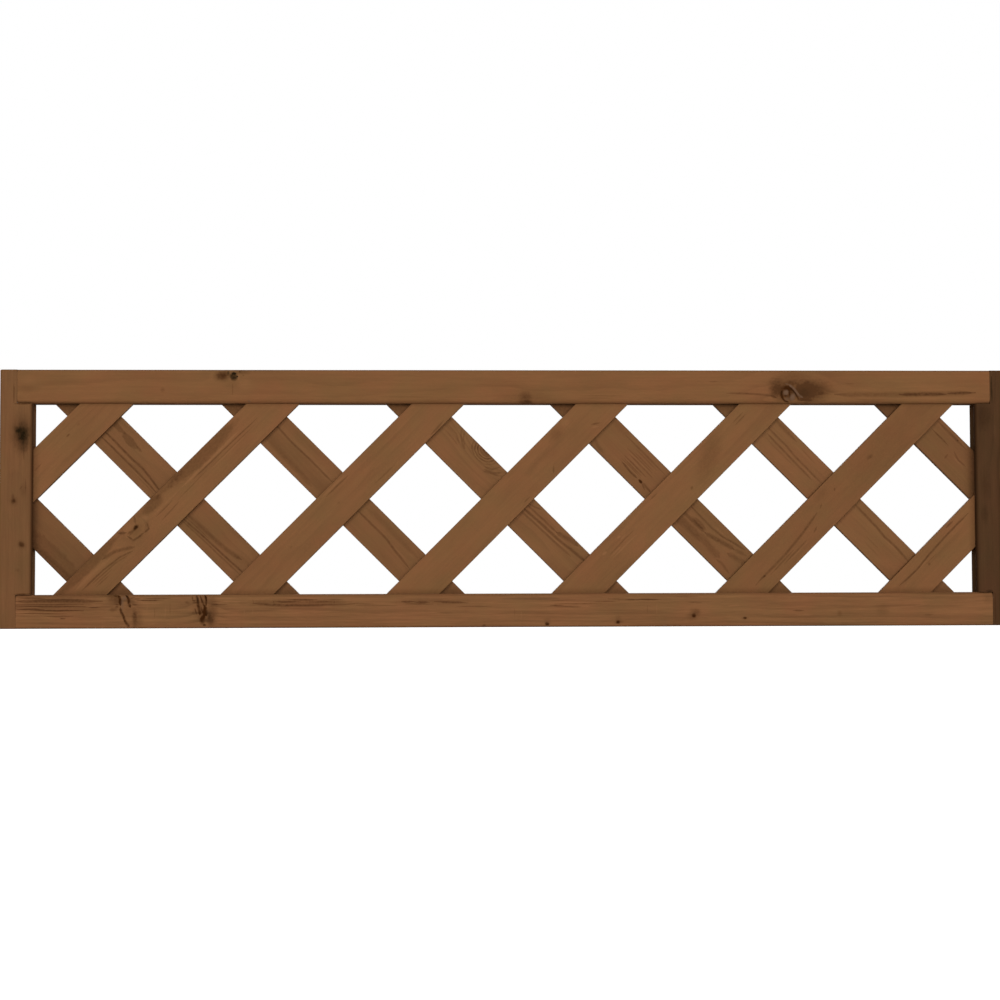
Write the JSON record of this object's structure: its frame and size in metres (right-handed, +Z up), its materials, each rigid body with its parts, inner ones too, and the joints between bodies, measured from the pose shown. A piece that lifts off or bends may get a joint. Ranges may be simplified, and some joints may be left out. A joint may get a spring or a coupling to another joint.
{
  "type": "lattice panel",
  "caption": "Long, low garden lattice panel: a grooved softwood frame that holds crossed diagonal slats, front ones rising to the right.",
  "frame": {"origin": "middle of the bottom face, between the ends and between the front and the back", "axes": "+X along the panel to the right, +Y from the front to the back, +Z up"},
  "size_m": [1.2, 0.03, 0.306],
  "materials": {
    "rail_wood": "brown stained softwood, satin, with knots and dark grain",
    "stile_wood": "brown stained softwood, satin, with small knots",
    "dark_stile_wood": "darker brown stained softwood, satin",
    "front_slat_wood": "brown stained softwood lath, satin",
    "back_slat_wood": "brown stained softwood lath, strong dark grain",
    "screw_zinc": "yellow zinc plated",
    "staple_steel": "galvanised wire"
  },
  "bodies": {
    "root": {"top_rail": "rail_wood", "bottom_rail": "rail_wood", "left_stile": "stile_wood", "right_stile": "dark_stile_wood", "front_slat_1": "front_slat_wood", "front_slat_2": "front_slat_wood", "front_slat_3": "front_slat_wood", "front_slat_4": "front_slat_wood", "front_slat_5": "front_slat_wood", "front_slat_6": "front_slat_wood", "front_slat_7": "front_slat_wood", "back_slat_1": "back_slat_wood", "back_slat_2": "back_slat_wood", "back_slat_3": "back_slat_wood", "back_slat_4": "back_slat_wood", "back_slat_5": "back_slat_wood", "back_slat_6": "back_slat_wood", "back_slat_7": "back_slat_wood", "top_left_front_screw": "screw_zinc", "top_left_back_screw": "screw_zinc", "top_right_front_screw": "screw_zinc", "top_right_back_screw": "screw_zinc", "bottom_left_front_screw": "screw_zinc", "bottom_left_back_screw": "screw_zinc", "bottom_right_front_screw": "screw_zinc", "bottom_right_back_screw": "screw_zinc", "staple_1_2": "staple_steel", "staple_2_1": "staple_steel", "staple_2_2": "staple_steel", "staple_2_3": "staple_steel", "staple_3_2": "staple_steel", "staple_3_3": "staple_steel", "staple_3_4": "staple_steel", "staple_4_3": "staple_steel", "staple_4_4": "staple_steel", "staple_4_5": "staple_steel", "staple_5_4": "staple_steel", "staple_5_5": "staple_steel", "staple_5_6": "staple_steel", "staple_6_5": "staple_steel", "staple_6_6": "staple_steel", "staple_6_7": "staple_steel", "staple_7_6": "staple_steel"}
  },
  "joints": []
}
